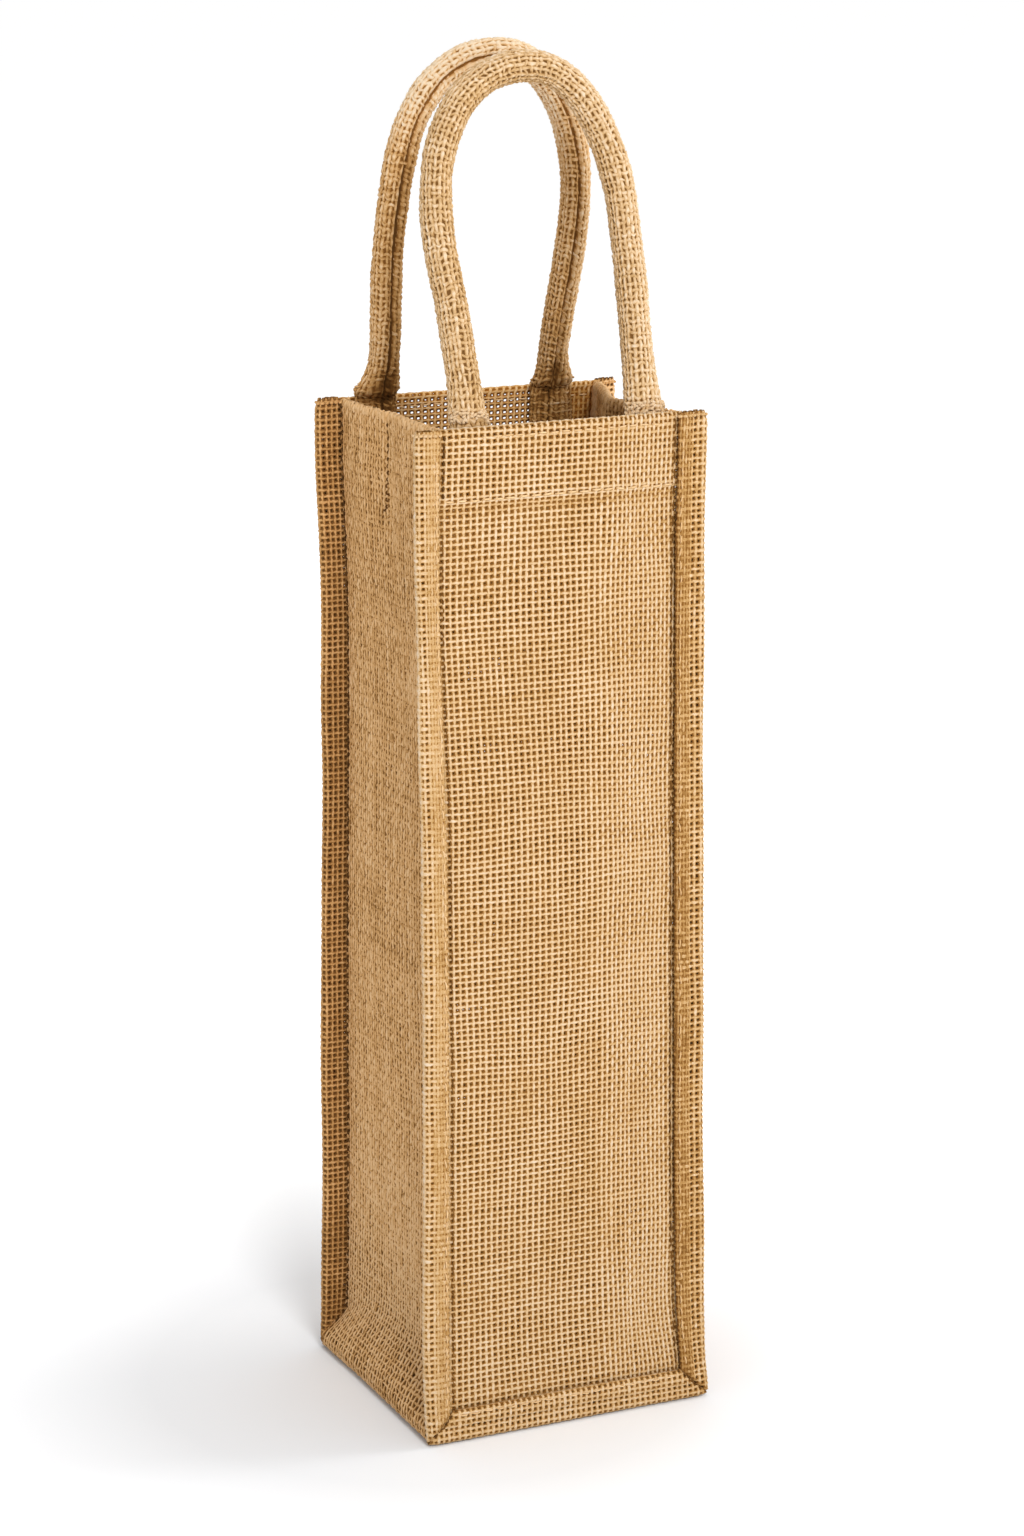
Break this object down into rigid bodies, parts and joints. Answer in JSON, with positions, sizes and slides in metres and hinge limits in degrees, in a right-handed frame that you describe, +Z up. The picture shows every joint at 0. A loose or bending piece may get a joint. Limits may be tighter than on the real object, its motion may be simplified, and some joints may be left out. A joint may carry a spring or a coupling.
{
  "type": "jute wine bag",
  "caption": "Tall open-topped bag of coarse jute with bound outer seams, a flat base and stuffed loop handles, for carrying a wine bottle.",
  "frame": {"origin": "on the floor, under the middle of the whole outline", "axes": "+Z up from the floor to the handles, the front panel faces -Y, +X to the right as seen from the front"},
  "size_m": [0.1172, 0.1026, 0.4706],
  "materials": {
    "jute_front": "coarse open plain weave, matt",
    "jute_side": "denser, fuzzier jute weave, matt",
    "jute_handle": "coarse jute weave on a stuffed sleeve, matt"
  },
  "bodies": {
    "root": {"front_panel": "jute_front", "back_panel": "jute_front", "gusset": "jute_side", "handle_front": "jute_handle", "handle_back": "jute_handle"}
  },
  "joints": []
}
